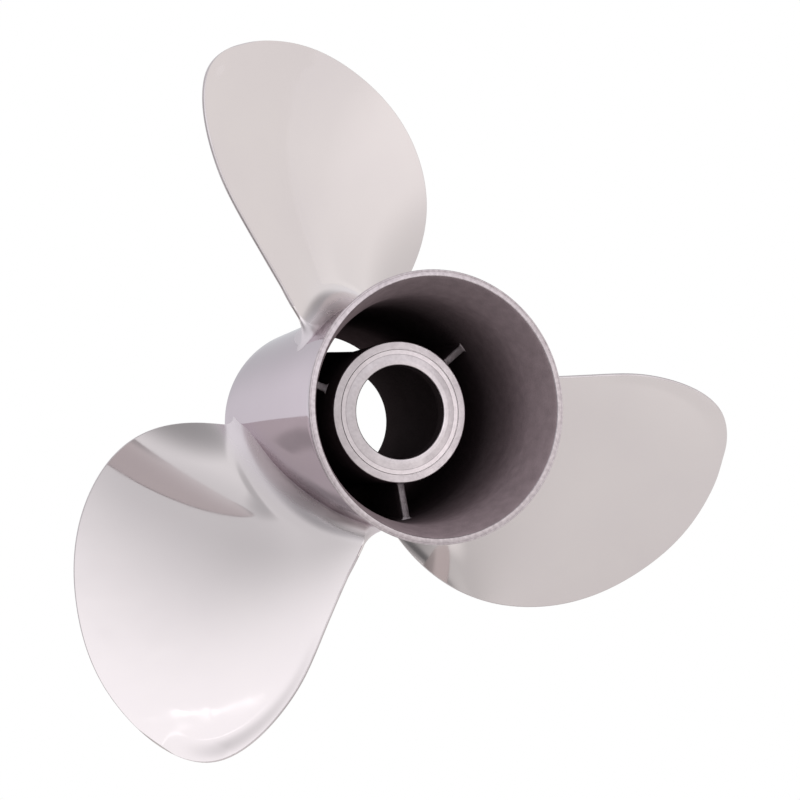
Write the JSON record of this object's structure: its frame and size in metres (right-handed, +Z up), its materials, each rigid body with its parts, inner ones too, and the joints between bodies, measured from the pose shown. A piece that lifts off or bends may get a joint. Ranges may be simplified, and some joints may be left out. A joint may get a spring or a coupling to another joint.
{
  "type": "outboard motor propeller",
  "caption": "Right-hand polished stainless boat propeller with raked blades on a flared exhaust barrel, ribs and an open inner hub with a pressed-in end ring.",
  "frame": {"origin": "on the shaft axis, in the plane of the inner hub's front face, which bears on the thrust washer", "axes": "+Y forward along the shaft, -Y aft where the exhaust mouth opens, +Z up through the first blade, +X to starboard"},
  "size_m": [0.2999, 0.1503, 0.2767],
  "materials": {
    "barrel_steel": "polished outside, blasted inside, machined rim",
    "blade_steel": "mirror polished",
    "hub_steel": "as cast, machined end face",
    "rib_steel": "as cast, blasted",
    "ring_steel": "fine turned"
  },
  "bodies": {
    "root": {"exhaust_barrel": "barrel_steel", "blade_1": "blade_steel", "blade_2": "blade_steel", "blade_3": "blade_steel", "inner_hub": "hub_steel", "hub_end_ring": "ring_steel", "rib_1": "rib_steel", "rib_2": "rib_steel", "rib_3": "rib_steel"}
  },
  "joints": []
}
